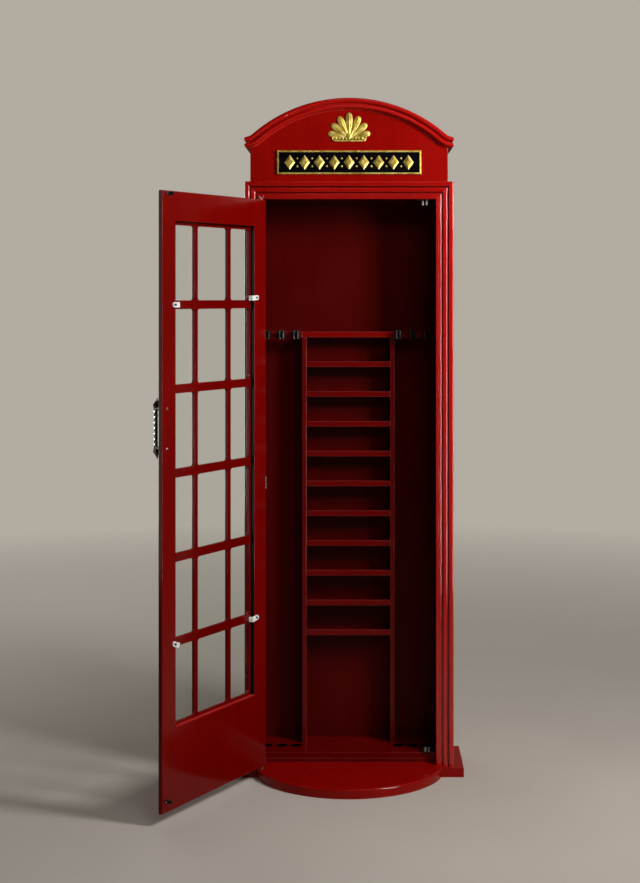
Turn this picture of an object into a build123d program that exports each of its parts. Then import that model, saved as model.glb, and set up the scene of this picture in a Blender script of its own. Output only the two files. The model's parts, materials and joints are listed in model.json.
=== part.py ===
from build123d import *
import math
import os

# Telephone-box cabinet for billiard cues and balls, with a glazed door.
# Millimetres. X runs to the right, Y to the back, Z up. The origin is on the floor,
# on the centre line, in the plane of the face frame's outermost strip.
# The door is drawn shut and then turned open about its hinge axis.

# ---------------------------------------------------------------- driving sizes

BOARD = 18.0                    # thickness of the cabinet boards

# plinth and step
PLINTH_HALF = 347.0
PLINTH_FRONT = -15.5
PLINTH_TOP = 28.0
STEP_RADIUS = 294.0
STEP_CENTRE_Y = 71.0

# carcass
CARCASS_HALF = 300.0
CARCASS_FRONT = 28.0
CARCASS_BACK = 215.0
BACK_SHEET = 5.0
CEILING_Z = 1748.0
FLOOR_TOP = 59.0
FLOOR_FRONT = 41.0

# face frame: three stepped strips with a groove between each pair
FRAME_HALF = 317.0
FRAME_TOP = 1801.0
FRAME_BASE_Y = 16.5             # bottom of the grooves
STRIP_STEP = 5.0                # each strip sits this far behind the next one out
STRIP_WIDTHS = (14.5, 13.5, 17.5)
GROOVE = 4.0
QUIRK = (1.2, 2.0)                 # width and depth of the fine line in the innermost strip
QUIRK_IN = 10.2                    # from the frame's inner edge
FRAME_BAND = sum(STRIP_WIDTHS) + 2 * GROOVE
OPENING_HALF = FRAME_HALF - FRAME_BAND
OPENING_TOP = FRAME_TOP - FRAME_BAND

# header and roof
HEADER_FRONT = 10.0
HEADER_BACK = 28.0
ROOF_BOARD = 10.0
ARCH_RADIUS = 446.0
ARCH_CENTRE_Z = 1608.0
EASE_RADIUS = 40.0              # the upward sweep at each end of the arch
CORNICE_HALF = 318.0
CORNICE_DEPTH = 36.5
CORNICE_PROJECTION = CORNICE_HALF - CARCASS_HALF

# sign and crest
SIGN_HALF = 218.5
SIGN_BOTTOM = 1823.0
SIGN_TOP = 1895.0
SIGN_BORDER = 5.0
SIGN_MOTIFS = 9
SIGN_MOTIF_PITCH = 45.0
CREST_BOTTOM = 1921.0
CREST_HALF = 50.0

# ball rack and cue places
FITTINGS_X = -3.0               # the rack and the cue places sit just left of centre
RACK_HALF = 144.0
RACK_BOARD = 13.5
RACK_FRONT = 140.0
RACK_TOP = 1342.0
SHELF_PITCH = 93.0
SHELF_COUNT = 10
SHELF_BOARD = 8.0
LIP_HEIGHT = 17.5
LIP_THICKNESS = 9.0
CUE_CENTRE_X = -7.0
CUE_FIRST = 159.0               # first cue place, from the middle between the two sets
CUE_PITCH = 44.75
CUE_Y = 117.0
CUE_HOLE_RADIUS = 18.0
CLIP_HEIGHT = 26.0
CLIP_OUTER = 11.5
CLIP_BORE = 6.8
CLIP_Z = 1333.0

# door, drawn shut
DOOR_HALF = 260.5
DOOR_BOTTOM = 35.5
DOOR_TOP = 1744.0
DOOR_FRONT = 10.0
DOOR_BACK = 23.0
STILE = 62.0
TOP_RAIL = 82.0
BOTTOM_RAIL = 224.0
OPEN_ANGLE = 119.6              # how far the door stands open at rest

# glazing grid on the outer side of the door
GRID_FRONT = 0.0
GRID_HALF = 218.5
GRID_BORDER = 30.5
GRID_BAR = 16.5
GRID_CROSS_BAR = 24.5
PANE_WIDTHS = (97.0, 149.0, 97.0)
PANE_HEIGHT = 210.0
PANE_ROWS = 6
PANE_CORNER = 8.0
PANES_BOTTOM = 269.0
GLASS_THICKNESS = 4.0
FRAME_CORNER = 6.0              # the routed corners of the door frame's opening
SEAL = 2.0                      # bead of sealant between the glass and the frame
SEAL_BACK = 21.5
CLIP_STRAP = 4.5
CLIP_TONGUE = 2.8

# hinge axis and its hardware
AXIS_X = -265.5
AXIS_Y = 4.0
PIVOT_RADIUS = 2.0
RUNNING_GAP = 0.05
LUG_RADIUS = 4.5
LUG_THICKNESS = 3.0
HINGE_Z = (872.0, 907.0)
BARREL_RADIUS = 3.8
HINGE_PIN_RADIUS = 1.5

# roller catches and their strikes
TOP_STRIKE = (229.9, 1736.0)    # x and z of the middle of each strike
BOTTOM_STRIKE = (237.3, 66.0)
CATCH_SHIFT = 0.1               # each catch sits this far to the right of its strike
ROLLER_Y = 36.5
ROLLER_X = 5.7
ROLLER_RADIUS = 4.1
ROLLER_HEIGHT = 13.0
AXLE_RADIUS = 1.5

# pull handle
PULL_X = 238.5
PULL_Z = (1035.0, 1144.0)
PULL_STANDOFF = 25.0
PULL_BAR = 9.0
PULL_TWIST = 650.0
PULL_LEAF = 31.0                # from the post to the leaf's point
PULL_LEAF_HALF = 10.5
PULL_LEAF_LEAN = 11.0

os.makedirs("parts", exist_ok=True)


# ---------------------------------------------------------------- small helpers

def block(x, y, z):
    """Box from three (low, high) pairs."""
    size = [high - low for low, high in (x, y, z)]
    middle = [(high + low) / 2 for low, high in (x, y, z)]
    return Pos(*middle) * Box(*size)


def rod(radius, x, y, z_low, z_high):
    """Upright cylinder."""
    return Pos(x, y, (z_low + z_high) / 2) * Cylinder(radius, z_high - z_low)


def cross_rod(radius, x, z, y_low, y_high):
    """Cylinder that runs front to back."""
    middle = Pos(x, (y_low + y_high) / 2, z)
    return middle * Rot(90, 0, 0) * Cylinder(radius, y_high - y_low)


def edges_along(part, axis):
    """Straight edges parallel to an axis."""
    return part.edges().filter_by(axis)


def front_slab(outline, y_front, y_back):
    """Push a flat outline drawn on the XZ plane through from y_front to y_back."""
    return Pos(0, y_back, 0) * extrude(outline, y_back - y_front)


def screw(x, z, face_y, head_radius=3.4, shank_radius=1.6, length=12.0, inward=1):
    """Pan-head wood screw driven from a front (inward=1) or a back (inward=-1) face."""
    head_y = sorted((face_y, face_y - 1.6 * inward))
    shank_y = sorted((face_y, face_y + length * inward))
    head = cross_rod(head_radius, x, z, *head_y)
    rim = head.edges().filter_by(GeomType.CIRCLE).sort_by(Axis.Y)
    head = fillet(rim[0] if inward > 0 else rim[-1], 0.9)
    slot_y = sorted((face_y - 1.6 * inward, face_y - 0.9 * inward))
    head -= block((x - 0.4, x + 0.4), slot_y, (z - head_radius, z + head_radius))
    return head + cross_rod(shank_radius, x, z, *shank_y)


def group(parts):
    """Separate solids kept together in one node."""
    solids = []
    for part in parts:
        solids.extend(part.solids())
    return Compound(children=solids)


def mirrored(part):
    """The same part on the other side of the centre line."""
    return mirror(part, about=Plane.YZ)


def door_open(part):
    """Turn a part of the shut door to its resting place."""
    swing = Pos(AXIS_X, AXIS_Y, 0) * Rot(0, 0, -OPEN_ANGLE) * Pos(-AXIS_X, -AXIS_Y, 0)
    return swing * part


def save(name, part):
    """Write one node."""
    export_step(part, os.path.join("parts", name + ".step"))


# ---------------------------------------------------------------- plinth and step

def plinth_board():
    board = block((-PLINTH_HALF, PLINTH_HALF), (PLINTH_FRONT, CARCASS_BACK), (0, PLINTH_TOP))
    top = board.faces().sort_by(Axis.Z)[-1].edges()
    sides = top.filter_by(Axis.Y)
    ends = edges_along(board, Axis.Z).sort_by(Axis.Y)[:2]
    return fillet(sides + ends, 2.0)


def half_round_step():
    disc = rod(STEP_RADIUS, 0, STEP_CENTRE_Y, 0, PLINTH_TOP)
    reach = STEP_RADIUS + 10
    step = disc - block((-reach, reach), (PLINTH_FRONT, STEP_CENTRE_Y + reach), (-1, PLINTH_TOP + 1))
    rims = step.edges().filter_by(GeomType.CIRCLE).sort_by(Axis.Z)
    step = fillet(rims[-1], 5.0)
    low_rim = step.edges().filter_by(GeomType.CIRCLE).sort_by(Axis.Z)[0]
    return fillet(low_rim, 2.0)


# ---------------------------------------------------------------- roof line

EASE_CENTRE_Z = ARCH_CENTRE_Z + math.sqrt((ARCH_RADIUS + EASE_RADIUS) ** 2 - CORNICE_HALF ** 2)
EASE_LEAN = math.asin(CORNICE_HALF / (ARCH_RADIUS + EASE_RADIUS))
ROOF_END_Z = EASE_CENTRE_Z - EASE_RADIUS


def roof_line(inset):
    """The roof line from left to right, set in by inset: a short sweep, the arch, a short sweep."""
    arch = ARCH_RADIUS - inset
    ease = EASE_RADIUS + inset
    touch_x = arch * math.sin(EASE_LEAN)
    touch_z = ARCH_CENTRE_Z + arch * math.cos(EASE_LEAN)
    middle_x = CORNICE_HALF - ease * math.sin(EASE_LEAN / 2)
    middle_z = EASE_CENTRE_Z - ease * math.cos(EASE_LEAN / 2)
    end_z = EASE_CENTRE_Z - ease
    left = ThreePointArc((-CORNICE_HALF, end_z), (-middle_x, middle_z), (-touch_x, touch_z))
    crown = ThreePointArc((-touch_x, touch_z), (0, ARCH_CENTRE_Z + arch), (touch_x, touch_z))
    right = ThreePointArc((touch_x, touch_z), (middle_x, middle_z), (CORNICE_HALF, end_z))
    return [left, crown, right]


def under_roof(inset, y_front, y_back, half_width, bottom):
    """Everything under the roof line, between two depths and inside a half width."""
    curve = roof_line(inset)
    end_z = EASE_CENTRE_Z - EASE_RADIUS - inset
    low = bottom - 10
    sides = [
        Line((CORNICE_HALF, end_z), (CORNICE_HALF, low)),
        Line((CORNICE_HALF, low), (-CORNICE_HALF, low)),
        Line((-CORNICE_HALF, low), (-CORNICE_HALF, end_z)),
    ]
    outline = Plane.XZ * make_face(curve + sides)
    keep = block((-half_width, half_width), (y_front, y_back), (bottom, ARCH_CENTRE_Z + ARCH_RADIUS + 10))
    return front_slab(outline, y_front, y_back) & keep


def header_panel():
    return under_roof(ROOF_BOARD, HEADER_FRONT, HEADER_BACK, CARCASS_HALF, FRAME_TOP)


def roof_panel():
    whole = under_roof(0, HEADER_FRONT, CARCASS_BACK, CARCASS_HALF, FRAME_TOP)
    return whole - under_roof(ROOF_BOARD, HEADER_FRONT - 1, CARCASS_BACK + 1, CARCASS_HALF + 1, FRAME_TOP - 1)


# ---------------------------------------------------------------- carcass

def side_panel_right():
    tall = under_roof(ROOF_BOARD, CARCASS_FRONT, CARCASS_BACK, CARCASS_HALF, PLINTH_TOP)
    inner = CARCASS_HALF - BOARD
    strip = block((inner, CARCASS_HALF), (CARCASS_FRONT, CARCASS_BACK), (PLINTH_TOP, FRAME_TOP + 200))
    rebate_x = (inner - 1, CARCASS_HALF - BOARD / 2)
    rebate_y = (CARCASS_BACK - BACK_SHEET, CARCASS_BACK + 1)
    return (tall & strip) - block(rebate_x, rebate_y, (PLINTH_TOP - 1, FRAME_TOP + 200))


def back_panel():
    half = CARCASS_HALF - BOARD / 2
    return under_roof(ROOF_BOARD, CARCASS_BACK - BACK_SHEET, CARCASS_BACK, half, PLINTH_TOP)


def ceiling_panel():
    half = CARCASS_HALF - BOARD
    depth = (CARCASS_FRONT, CARCASS_BACK - BACK_SHEET)
    return block((-half, half), depth, (CEILING_Z, CEILING_Z + BOARD))


def cue_places():
    """X of the six cue places, left to right."""
    steps = [CUE_FIRST + CUE_PITCH * i for i in range(3)]
    return [CUE_CENTRE_X - s for s in reversed(steps)] + [CUE_CENTRE_X + s for s in steps]


def interior_floor():
    half = CARCASS_HALF - BOARD
    depth = (FLOOR_FRONT, CARCASS_BACK - BACK_SHEET)
    board = block((-half, half), depth, (FLOOR_TOP - BOARD, FLOOR_TOP))
    front_edge = edges_along(board, Axis.X).sort_by(Axis.Y)[:2].sort_by(Axis.Z)[-1]
    board = fillet(front_edge, 2.0)
    for x in cue_places():
        board -= rod(CUE_HOLE_RADIUS, x, CUE_Y, FLOOR_TOP - BOARD - 1, FLOOR_TOP + 1)
    return board


def floor_bearers():
    half = CARCASS_HALF - BOARD
    height = (PLINTH_TOP, FLOOR_TOP - BOARD)
    back = CARCASS_BACK - BACK_SHEET
    riser = block((-half, half), (FLOOR_FRONT, FLOOR_FRONT + BOARD), height)
    rear = block((-half, half), (back - BOARD, back), height)
    return group([riser, rear])


# ---------------------------------------------------------------- face frame

def frame_section():
    """Section of the frame, measured inwards from its outer edge (x) and backwards (y)."""
    base_size = CARCASS_FRONT - FRAME_BASE_Y
    section = Pos(FRAME_BAND / 2, FRAME_BASE_Y + base_size / 2) * Rectangle(FRAME_BAND, base_size)
    start = 0.0
    for i, width in enumerate(STRIP_WIDTHS):
        front = STRIP_STEP * i
        depth = CARCASS_FRONT - 4 - front
        place = Pos(start + width / 2, front + depth / 2)
        section += place * RectangleRounded(width, depth, 3.0)
        start += width + GROOVE
    width, depth = QUIRK
    return section - Pos(FRAME_BAND - QUIRK_IN, STRIP_STEP * 2) * Rectangle(width, 2 * depth)


def frame_stile_right():
    """Upright with its top mitred."""
    turned = Pos(FRAME_HALF, 0, PLINTH_TOP) * mirror(frame_section(), about=Plane.YZ)
    post = extrude(turned, FRAME_TOP - PLINTH_TOP)
    return post - mitre_wedge((FRAME_HALF + 1, FRAME_TOP + 1), (OPENING_HALF - 1, FRAME_TOP + 1))


def mitre_wedge(corner, other):
    """Triangle on one side of the frame's corner mitre, cut right through the frame."""
    low = (OPENING_HALF - 1, OPENING_TOP - 1)
    outline = Plane.XZ * make_face(Polyline(low, corner, other, close=True).edges())
    return front_slab(outline, -1, CARCASS_FRONT + 1)


def frame_top_rail():
    """Head of the frame with both ends mitred."""
    upright = extrude(frame_section(), 2 * FRAME_HALF)
    lying = Pos(-FRAME_HALF, 0, FRAME_TOP) * Rot(0, 90, 0) * upright
    wedge = mitre_wedge((FRAME_HALF + 1, FRAME_TOP + 1), (FRAME_HALF + 1, OPENING_TOP - 1))
    return lying - wedge - mirrored(wedge)


# ---------------------------------------------------------------- cornice

def cornice_section():
    """Edges of the double roll: x is the projection from the wall, y the drop from the top."""
    return [
        Line((0, 0), (12, 0)),
        ThreePointArc((12, 0), (18, -7), (13, -14)),
        Line((13, -14), (8, -14.5)),
        Line((8, -14.5), (8, -18.5)),
        Line((8, -18.5), (13, -19)),
        ThreePointArc((13, -19), (17.5, -25), (11.5, -31)),
        Line((11.5, -31), (4, -32.5)),
        Line((4, -32.5), (0, -CORNICE_DEPTH)),
        Line((0, -CORNICE_DEPTH), (0, 0)),
    ]


def corner_prism(side):
    """The outer triangle of the plan, beyond the 45 degree mitre at a front corner."""
    reach = CORNICE_PROJECTION
    points = [
        (CARCASS_HALF - 1, HEADER_FRONT + 1),
        (CARCASS_HALF + reach + 1, HEADER_FRONT - reach - 1),
        (CARCASS_HALF + reach + 1, HEADER_FRONT + 1),
    ]
    plan = make_face(Polyline(*points, close=True).edges())
    prism = Pos(0, 0, FRAME_TOP) * extrude(plan, 300)
    return prism if side > 0 else mirrored(prism)


def cornice_front():
    section = make_face(cornice_section())
    seat = Plane(origin=(-CORNICE_HALF, HEADER_FRONT, ROOF_END_Z), x_dir=(0, -1, 0), z_dir=(-1, 0, 0))
    path = Pos(0, HEADER_FRONT, 0) * (Plane.XZ * Wire(roof_line(0)))
    moulding = sweep(seat * section, path=path)
    return moulding - corner_prism(1) - corner_prism(-1)


def cornice_return_right():
    """The moulding carried back along the side wall from the mitre."""
    section = make_face(cornice_section())
    seat = Plane(origin=(CARCASS_HALF, CARCASS_BACK, ROOF_END_Z), x_dir=(1, 0, 0), z_dir=(0, -1, 0))
    run = CARCASS_BACK - HEADER_FRONT + CORNICE_PROJECTION
    strip = extrude(seat * section, run)
    reach = CORNICE_PROJECTION
    points = [
        (CARCASS_HALF - 1, HEADER_FRONT + 1),
        (CARCASS_HALF + reach + 1, HEADER_FRONT - reach - 1),
        (CARCASS_HALF - 1, HEADER_FRONT - reach - 1),
    ]
    inner = make_face(Polyline(*points, close=True).edges())
    return strip - Pos(0, 0, FRAME_TOP) * extrude(inner, 300)


# ---------------------------------------------------------------- sign and crest

def sign_plate():
    half = SIGN_HALF - SIGN_BORDER
    height = (SIGN_BOTTOM + SIGN_BORDER, SIGN_TOP - SIGN_BORDER)
    return block((-half, half), (HEADER_FRONT - 4, HEADER_FRONT), height)


def sign_border():
    depth = (HEADER_FRONT - 7, HEADER_FRONT)
    outer = block((-SIGN_HALF, SIGN_HALF), depth, (SIGN_BOTTOM, SIGN_TOP))
    front = outer.faces().sort_by(Axis.Y)[0].edges()
    outer = fillet(front, 1.5)
    half = SIGN_HALF - SIGN_BORDER
    height = (SIGN_BOTTOM + SIGN_BORDER, SIGN_TOP - SIGN_BORDER)
    return outer - block((-half, half), (depth[0] - 1, depth[1] + 1), height)


def lozenge(x, z):
    """Raised four-sided pyramid with its point cut off."""
    half_width, half_height, rise = 16.0, 22.0, 4.0
    points = [(half_width, 0), (0, half_height), (-half_width, 0), (0, -half_height)]
    base = make_face(Polyline(*points, close=True).edges())
    seat = Plane(origin=(x, HEADER_FRONT - 4, z), x_dir=(1, 0, 0), z_dir=(0, -1, 0))
    return extrude(seat * base, rise, taper=55)


def sign_relief():
    """A generic row of lozenges with beads between them."""
    middle = (SIGN_BOTTOM + SIGN_TOP) / 2
    start = -SIGN_MOTIF_PITCH * (SIGN_MOTIFS - 1) / 2
    pieces = [lozenge(start + SIGN_MOTIF_PITCH * i, middle) for i in range(SIGN_MOTIFS)]
    for i in range(SIGN_MOTIFS - 1):
        x = start + SIGN_MOTIF_PITCH * (i + 0.5)
        for z in (middle - 12, middle + 12):
            bead = Pos(x, HEADER_FRONT - 4, z) * Sphere(3.2)
            front_half = block((x - 4, x + 4), (HEADER_FRONT - 8, HEADER_FRONT - 4), (z - 4, z + 4))
            pieces.append(bead & front_half)
    return group(pieces)


def petal(angle, length, width):
    """Pointed leaf that grows from the foot of the crest."""
    upper = ThreePointArc((0, 0), (width / 2, length * 0.58), (0, length))
    lower = ThreePointArc((0, length), (-width / 2, length * 0.58), (0, 0))
    foot = Plane(origin=(0, HEADER_FRONT, CREST_BOTTOM + 8), x_dir=(1, 0, 0), z_dir=(0, -1, 0))
    return extrude(foot * Rot(0, 0, angle) * make_face([upper, lower]), 6)


def crest_ornament():
    """A palmette: seven leaves over a bar with two scroll ends."""
    depth = (HEADER_FRONT - 7, HEADER_FRONT)
    crest = block((-CREST_HALF, CREST_HALF), depth, (CREST_BOTTOM, CREST_BOTTOM + 12))
    for side in (-1, 1):
        crest += cross_rod(9, side * CREST_HALF, CREST_BOTTOM + 10, *depth)
    crest += cross_rod(15, 0, CREST_BOTTOM + 15, *depth)
    for i in range(-3, 4):
        crest += petal(22 * i, 83 - 3.5 * abs(i), 19)
    return crest


# ---------------------------------------------------------------- ball rack and cue fittings

def rack_side(side):
    inner = FITTINGS_X + side * (RACK_HALF - RACK_BOARD)
    outer = FITTINGS_X + side * RACK_HALF
    depth = (RACK_FRONT, CARCASS_BACK - BACK_SHEET)
    board = block(sorted((inner, outer)), depth, (FLOOR_TOP, RACK_TOP - BOARD))
    return fillet(edges_along(board, Axis.Z).sort_by(Axis.Y)[:2], 1.5)


def between_rack_sides(depth, height):
    inner = RACK_HALF - RACK_BOARD
    return block((FITTINGS_X - inner, FITTINGS_X + inner), depth, height)


def rack_top_board():
    """Laid over the tops of both side boards."""
    across = (FITTINGS_X - RACK_HALF, FITTINGS_X + RACK_HALF)
    board = block(across, (RACK_FRONT, CARCASS_BACK - BACK_SHEET), (RACK_TOP - BOARD, RACK_TOP))
    return fillet(edges_along(board, Axis.X).sort_by(Axis.Y)[:2], 1.5)


def lip_tops():
    return [RACK_TOP - SHELF_PITCH * (i + 1) for i in range(SHELF_COUNT)]


def ball_shelves():
    depth = (RACK_FRONT + LIP_THICKNESS, CARCASS_BACK - BACK_SHEET)
    bottoms = [top - LIP_HEIGHT for top in lip_tops()]
    return group([between_rack_sides(depth, (z, z + SHELF_BOARD)) for z in bottoms])


def shelf_lips():
    depth = (RACK_FRONT, RACK_FRONT + LIP_THICKNESS)
    lips = []
    for top in lip_tops():
        lip = between_rack_sides(depth, (top - LIP_HEIGHT, top))
        lips.append(fillet(edges_along(lip, Axis.X).sort_by(Axis.Y)[:2], 1.5))
    return group(lips)


def clip_rails():
    """Strips from the rack to the cabinet's sides, level with the rack's top board."""
    wall = CARCASS_HALF - BOARD
    depth = (RACK_FRONT, RACK_FRONT + BOARD)
    height = (RACK_TOP - BOARD, RACK_TOP)
    left = block((-wall, FITTINGS_X - RACK_HALF), depth, height)
    right = block((FITTINGS_X + RACK_HALF, wall), depth, height)
    return group([left, right])


def cue_clip(x):
    """Open spring ring on a short neck; the mouth faces the front."""
    ring = Circle(CLIP_OUTER) - Circle(CLIP_BORE)
    ring += Pos(0, (CLIP_OUTER + RACK_FRONT - CUE_Y) / 2) * Rectangle(13, RACK_FRONT - CUE_Y - CLIP_OUTER + 4)
    ring -= Circle(CLIP_BORE)
    ring -= Pos(0, -CLIP_OUTER) * Rectangle(8, 12)
    clip = Pos(x, CUE_Y, CLIP_Z - CLIP_HEIGHT / 2) * extrude(ring, CLIP_HEIGHT)
    clip = clip & block((x - 20, x + 20), (CUE_Y - 20, RACK_FRONT), (CLIP_Z - 20, CLIP_Z + 20))
    tips = edges_along(clip, Axis.Z).sort_by(Axis.Y)[:2]
    return fillet(tips, 1.5)


def cue_clips():
    return group([cue_clip(x) for x in cue_places()])


def cue_clip_screws():
    """One screw through the back of each ring into the rail."""
    seat = CUE_Y + CLIP_BORE
    height = RACK_TOP - BOARD / 2
    return group([screw(x, height, seat + 1.0, 2.6, 1.4, 26.0) for x in cue_places()])


# ---------------------------------------------------------------- door hanging, cabinet side

def top_pivot_bracket():
    face = STRIP_STEP * 2
    leg = block((AXIS_X - 14.5, AXIS_X + 4.5), (face - 2, face), (DOOR_TOP + 1, DOOR_TOP + 16))
    ear = block((AXIS_X - 4.5, AXIS_X + 4.5), (AXIS_Y, face), (DOOR_TOP + 1, DOOR_TOP + 3.5))
    ear += rod(LUG_RADIUS, AXIS_X, AXIS_Y, DOOR_TOP + 1, DOOR_TOP + 3.5)
    return leg + ear - rod(PIVOT_RADIUS, AXIS_X, AXIS_Y, DOOR_TOP, DOOR_TOP + 4)


def bottom_pivot_plate():
    height = (PLINTH_TOP, PLINTH_TOP + 2.5)
    plate = block((AXIS_X - 18.5, AXIS_X), (AXIS_Y - 5, AXIS_Y + 5), height)
    plate += rod(5.0, AXIS_X, AXIS_Y, *height)
    return plate - rod(PIVOT_RADIUS, AXIS_X, AXIS_Y, PLINTH_TOP - 1, PLINTH_TOP + 4)


def pivot_pins():
    top = rod(PIVOT_RADIUS, AXIS_X, AXIS_Y, DOOR_TOP - 4, DOOR_TOP + 3.5)
    top += rod(3.2, AXIS_X, AXIS_Y, DOOR_TOP + 3.5, DOOR_TOP + 5)
    low = rod(PIVOT_RADIUS, AXIS_X, AXIS_Y, PLINTH_TOP, DOOR_BOTTOM + 4)
    low += rod(3.8, AXIS_X, AXIS_Y, PLINTH_TOP + 2.5, DOOR_BOTTOM - 0.2)
    return group([top, low])


def hinge_thirds():
    """The hinge's height split into three knuckles with a small gap between them."""
    low, high = HINGE_Z
    third = (high - low) / 3
    return [(low + third * i + 0.15, low + third * (i + 1) - 0.15) for i in range(3)]


def hinge_frame_leaf():
    face = STRIP_STEP * 2
    leaf = block((AXIS_X - 14.5, AXIS_X), (face - 1.7, face), HINGE_Z)
    knuckle = hinge_thirds()[1]
    leaf += block((AXIS_X - 4, AXIS_X), (AXIS_Y, face - 1), knuckle)
    leaf += rod(BARREL_RADIUS, AXIS_X, AXIS_Y, *knuckle)
    return leaf - rod(HINGE_PIN_RADIUS, AXIS_X, AXIS_Y, *HINGE_Z)


def hinge_pin():
    low, high = HINGE_Z
    pin = rod(HINGE_PIN_RADIUS, AXIS_X, AXIS_Y, low - 0.3, high + 0.3)
    pin += rod(2.6, AXIS_X, AXIS_Y, high + 0.3, high + 1.8)
    return pin + rod(2.6, AXIS_X, AXIS_Y, low - 1.8, low - 0.3)


def frame_hinge_screws():
    face = STRIP_STEP * 2
    low, high = HINGE_Z
    screws = [screw(AXIS_X - 7, DOOR_TOP + 9, face - 2)]
    screws += [screw(AXIS_X - 9.5, z, face - 1.7, 2.8, 1.4) for z in (low + 7, high - 7)]
    lying = screw(0, 0, 0, 2.8, 1.4)
    upright = Rot(-90, 0, 0) * lying
    for x in (AXIS_X - 7.6, AXIS_X - 14.6):
        screws.append(Pos(x, AXIS_Y, PLINTH_TOP + 2.5) * upright)
    return group(screws)


# ---------------------------------------------------------------- roller catches
# A catch is drawn with its base on Z = 0 and its rollers standing up from it.

CATCH_BASE = 1.5
JAW_PLATE = (1.7, 3.5)
ROLLER_FOOT = 3.8
CATCH_WALL = 21.0


def catch_housing():
    """Base plate with an upturned wall at each end; the rollers overhang its front edge."""
    base = block((-CATCH_WALL, CATCH_WALL), (6.5, 20), (0, CATCH_BASE))
    for side in (-1, 1):
        base += block(sorted((side * CATCH_WALL, side * (CATCH_WALL - 1.5))), (9, 20), (0, 9))
    return base


def catch_jaw(side):
    """Sliding plate with an upturned tab and the roller's axle."""
    inner = side * 2.5
    outer = side * 14.5
    plate = block(sorted((inner, outer)), (-4, 19), JAW_PLATE)
    tab = block(sorted((outer, outer - side * 1.5)), (10, 19), (JAW_PLATE[0], 9))
    axle = rod(AXLE_RADIUS, side * ROLLER_X, 0, JAW_PLATE[1], ROLLER_FOOT + ROLLER_HEIGHT + 1.3)
    cap_low = ROLLER_FOOT + ROLLER_HEIGHT + 0.3
    cap = rod(2.4, side * ROLLER_X, 0, cap_low, cap_low + 1.2)
    return plate + tab + axle + cap


def catch_roller(side):
    """Waisted roller that turns on the axle."""
    bore = AXLE_RADIUS + RUNNING_GAP
    edges = [
        Line((bore, 0), (ROLLER_RADIUS, 0)),
        ThreePointArc(
            (ROLLER_RADIUS, 0), (ROLLER_RADIUS - 0.4, ROLLER_HEIGHT / 2), (ROLLER_RADIUS, ROLLER_HEIGHT)
        ),
        Line((ROLLER_RADIUS, ROLLER_HEIGHT), (bore, ROLLER_HEIGHT)),
        Line((bore, ROLLER_HEIGHT), (bore, 0)),
    ]
    roller = revolve(Plane.XZ * make_face(edges), Axis.Z)
    return Pos(side * ROLLER_X, 0, ROLLER_FOOT) * roller


def catch_spring(side):
    """Short coil between the jaw's tab and the housing's wall, drawn at its pressed length."""
    length = 3.8
    coil = Helix(pitch=0.95, height=length - 0.5, radius=1.9)
    start = Plane(origin=coil @ 0, z_dir=coil % 0)
    wire = sweep(start * Circle(0.22), path=coil, is_frenet=True)
    lying = Rot(0, 90, 0) * wire
    x = CATCH_WALL - 1.5 - length + 0.25
    right = Pos(x, 14.5, 6.3) * lying
    return right if side > 0 else mirrored(right)


def catch_screw(side):
    return Pos(side * 17.6, 8.5, CATCH_BASE) * Rot(-90, 0, 0) * screw(0, 0, 0, 1.6, 0.8, 9.0)


def at_bottom(part):
    return Pos(BOTTOM_STRIKE[0] + CATCH_SHIFT, ROLLER_Y, FLOOR_TOP) * part


def at_top(part):
    return Pos(TOP_STRIKE[0] + CATCH_SHIFT, ROLLER_Y, CEILING_Z) * mirror(part, about=Plane.XY)


def both_catches(pieces):
    return group([at_bottom(p) for p in pieces] + [at_top(p) for p in pieces])


# ---------------------------------------------------------------- door

def door_opening(inset, y_front, y_back):
    """Solid that fills the door's opening, set in by inset on every side."""
    low = DOOR_BOTTOM + BOTTOM_RAIL + inset
    high = DOOR_TOP - TOP_RAIL - inset
    width = 2 * (DOOR_HALF - STILE - inset)
    outline = Pos(0, (low + high) / 2) * RectangleRounded(width, high - low, FRAME_CORNER - inset)
    return front_slab(Plane.XZ * outline, y_front, y_back)


def door_frame():
    """One routed board with a tall opening; every arris but the hidden front one is eased."""
    board = block((-DOOR_HALF, DOOR_HALF), (DOOR_FRONT, DOOR_BACK), (DOOR_BOTTOM, DOOR_TOP))
    board = fillet(board.faces().sort_by(Axis.Y)[0].edges(), 1.5)
    board -= door_opening(0, DOOR_FRONT - 1, DOOR_BACK + 1)
    return fillet(board.faces().sort_by(Axis.Y)[-1].edges(), 1.5)


def muntin_grid():
    """Board with eighteen panes cut through it; the outer edge and the panes are eased."""
    glazed = PANE_ROWS * PANE_HEIGHT + (PANE_ROWS - 1) * GRID_CROSS_BAR
    bottom = PANES_BOTTOM - GRID_BORDER
    top = PANES_BOTTOM + glazed + GRID_BORDER
    outline = Pos(0, (bottom + top) / 2) * RectangleRounded(2 * GRID_HALF, top - bottom, 3)
    for row in range(PANE_ROWS):
        middle = PANES_BOTTOM + PANE_HEIGHT / 2 + row * (PANE_HEIGHT + GRID_CROSS_BAR)
        left = -(sum(PANE_WIDTHS) + 2 * GRID_BAR) / 2
        for width in PANE_WIDTHS:
            outline -= Pos(left + width / 2, middle) * RectangleRounded(width, PANE_HEIGHT, PANE_CORNER)
            left += width + GRID_BAR
    grid = front_slab(Plane.XZ * outline, GRID_FRONT, DOOR_FRONT)
    return fillet(grid.faces().sort_by(Axis.Y)[0].edges(), 2.5)


def glass_sheet():
    front = DOOR_FRONT + 0.2
    return door_opening(SEAL, front, front + GLASS_THICKNESS)


def glass_seal():
    """Bead of sealant that lines the opening round the glass."""
    ring = door_opening(0, DOOR_FRONT, SEAL_BACK)
    return ring - door_opening(SEAL, DOOR_FRONT - 1, SEAL_BACK + 1)


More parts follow.
